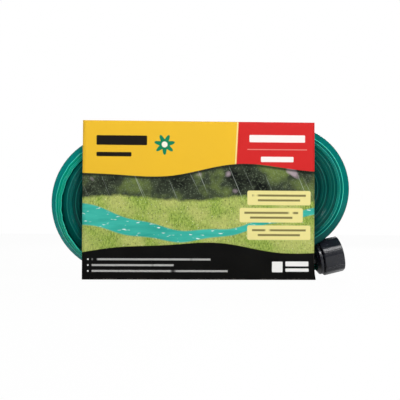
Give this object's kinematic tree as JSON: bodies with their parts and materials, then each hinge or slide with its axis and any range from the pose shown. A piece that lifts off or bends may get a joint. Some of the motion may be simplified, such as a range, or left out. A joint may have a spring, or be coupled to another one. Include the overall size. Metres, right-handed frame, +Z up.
{
  "type": "flat soaker hose in a card sleeve",
  "caption": "Flat finned soaker hose wound in an oval coil inside an open-ended card sleeve, with a turning tap nut on one end and a capped push-in nose on the other.",
  "frame": {"origin": "middle of the whole object's underside, on the surface that the sleeve stands on", "axes": "+X along the coil's length towards the tap nut, +Y from the printed front panel to the back panel, +Z up"},
  "size_m": [0.311, 0.052, 0.1639],
  "materials": {
    "printed_card": "printed and varnished on the outside, raw grey board inside and on the cut edges",
    "hose_green": "glossy, slightly see-through flexible PVC",
    "fitting_black": "satin moulded plastic",
    "seal_rubber": "matt",
    "tie_natural": "natural nylon"
  },
  "bodies": {
    "hose": {"hose_coil": "hose_green", "hose_inlet_lead": "hose_green", "hose_end_lead": "hose_green", "coil_tie_left": "tie_natural", "coil_tie_right": "tie_natural", "inlet_tail": "fitting_black", "inlet_collar": "fitting_black", "inlet_washer": "seal_rubber", "end_tail": "fitting_black", "end_collar": "fitting_black", "end_o_ring": "seal_rubber"},
    "sleeve": {"card_sleeve": "printed_card"},
    "tap_nut": {"inlet_nut": "fitting_black"},
    "cap": {"end_cap": "fitting_black"}
  },
  "joints": [
    {"name": "sleeve_slide", "type": "slide", "parent": "hose", "child": "sleeve", "axis": [-1, 0, 0], "range_m": [0, 0.28]},
    {"name": "nut_spin", "type": "hinge", "parent": "hose", "child": "tap_nut", "pos_m": [0.13729, 0.00022, 0.02415], "axis": [0.969, 0.1018, 0.225], "continuous": true},
    {"name": "cap_pull", "type": "slide", "parent": "hose", "child": "cap", "axis": [-1, 0, 0], "range_m": [0, 0.016]}
  ]
}
